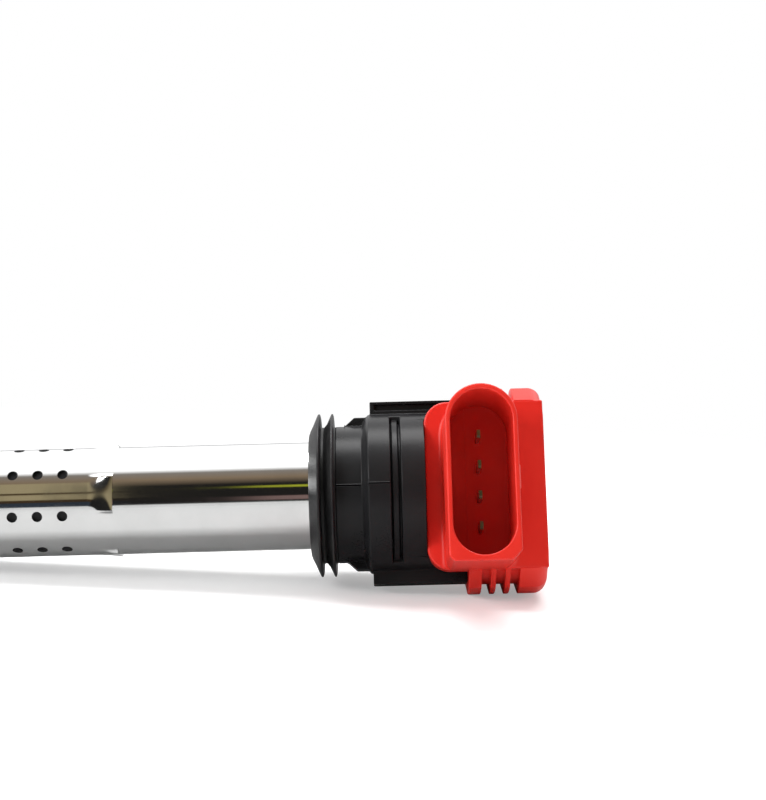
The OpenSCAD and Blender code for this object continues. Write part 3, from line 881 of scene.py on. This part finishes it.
bootShape = {"bore": 5.0, "bell": 5.9, "recess": 5.6, "lip": 3.7, "channel": 4.3, "tower": 6.85,
             "boreEnd": -94.2, "lipStart": -93.4, "lipEnd": -91.3}


def makeBoot():
    v = bootShape
    mouth, top = stationsOf("plug_boot")
    tower = stationsOf("hv_tower")[0]
    near, far, tower = v["lipStart"], v["lipEnd"], tower - 0.05
    outside = [(mouth, 9.6), (mouth + 0.8, 10.2), (mouth + 5, 10.2), (mouth + 7, 9.4), (-104, 8.95),
               (-100, 8.8), (-95, 8.66), (-90, 8.6), (-87, 8.75), (-84, 9), (-81, 9), (-80.6, 10),
               (-79, 10), (-78.6, 9.2), (-77.6, 9.2), (-77.2, 10.4), (top, 10.4)]
    inside = [(top, v["tower"]), (tower, v["tower"]), (tower, v["channel"]), (far, v["channel"]),
              (far, v["lip"]), (near, v["lip"]), (near, v["recess"]), (v["boreEnd"], v["recess"]),
              (v["boreEnd"], v["bore"]), (mouth + 1, v["bore"]), (mouth, v["bell"])]
    boot = lathe("plugBoot", outside + inside, 144)
    finishPiece(boot, bootSilicone, "coil", "plug_boot", edge=0.3, sharpAngle=20)


makeBoot()

# ---- sprung contact ----

springShape = {"radius": 3.0, "wire": 0.35, "turns": 9, "stepsPerTurn": 28, "sides": 10, "travel": 5}


def makeSpring():
    # a ring of wire wound along the coil; the real one flattens as the contact goes in, this one keeps
    # one length
    v = springShape
    low, high = stationsOf("contact_spring")
    length = high - low - 2 * v["wire"]
    bm = bmesh.new()
    bmesh.ops.create_circle(bm, cap_ends=True, segments=v["sides"], radius=v["wire"])
    for axis in "YZX":
        turnVerts(bm, bm.verts, math.pi / 2, axis)
    bmesh.ops.translate(bm, verts=bm.verts, vec=(low + v["wire"], -v["radius"], 0))
    steps = v["turns"] * v["stepsPerTurn"]
    bmesh.ops.spin(bm, geom=bm.verts[:] + bm.edges[:] + bm.faces[:], cent=(0, 0, 0), axis=(1, 0, 0),
                   dvec=(length / steps, 0, 0), angle=2 * math.pi * v["turns"], steps=steps,
                   use_merge=False, use_duplicate=False)
    spring = newObject("contactSpring", bm)
    finishPiece(spring, springSteel, "coil", "contact_spring", edge=0)
    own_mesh(spring)


makeSpring()

contactShape = {"flange": 4.0, "flangeThick": 1.0, "pin": 3.3, "cup": 2.3, "cupFloor": 1.7,
                "cupDeep": 1.1}


def makeContact():
    v = contactShape
    tip, back = stationsOf("contact_cap")
    step, floor = back - v["flangeThick"], tip + v["cupDeep"]
    cap = lathe("contactCap", [(tip, v["pin"] - 0.5), (tip + 0.5, v["pin"]), (step, v["pin"]),
                               (step, v["flange"]), (back, v["flange"]), (back, 0), (floor, 0),
                               (floor, v["cupFloor"]), (tip + 0.2, v["cup"])], 96)
    finishPiece(cap, contactBrass, "contact", "contact_cap", edge=0.12)


makeContact()

# ---- finishes for the pieces that keep their CAD mesh ----

finishes = {
    blackNylon: ["coil_case", "hv_tower", "power_transistor", "primary_bobbin"],
    tinnedBlade: ["terminal_supply", "terminal_signal", "terminal_ground", "terminal_engine"],
    ceramicWhite: ["driver_board", "suppressor_resistor"],
    spreaderAlloy: ["heat_spreader"],
    capacitorTan: ["suppression_capacitor"],
    pottingResin: ["potting_resin"],
    primaryCopper: ["primary_winding", "primary_leads"],
    secondaryCopper: ["secondary_winding"],
    palePlastic: ["secondary_bobbin"],
    greenSleeve: ["core_sleeve"],
    siliconSteel: ["core_stack"],
    magnetGrey: ["upper_magnet", "lower_magnet"],
    damperRubber: ["upper_damper", "lower_damper"],
    contactBrass: ["hv_terminal", "spring_seat"],
}
for material, nodes in finishes.items():
    for node in nodes:
        mesh = frame["nodes"][node].data
        mesh.materials.clear()
        mesh.materials.append(material)
print("finishes set")
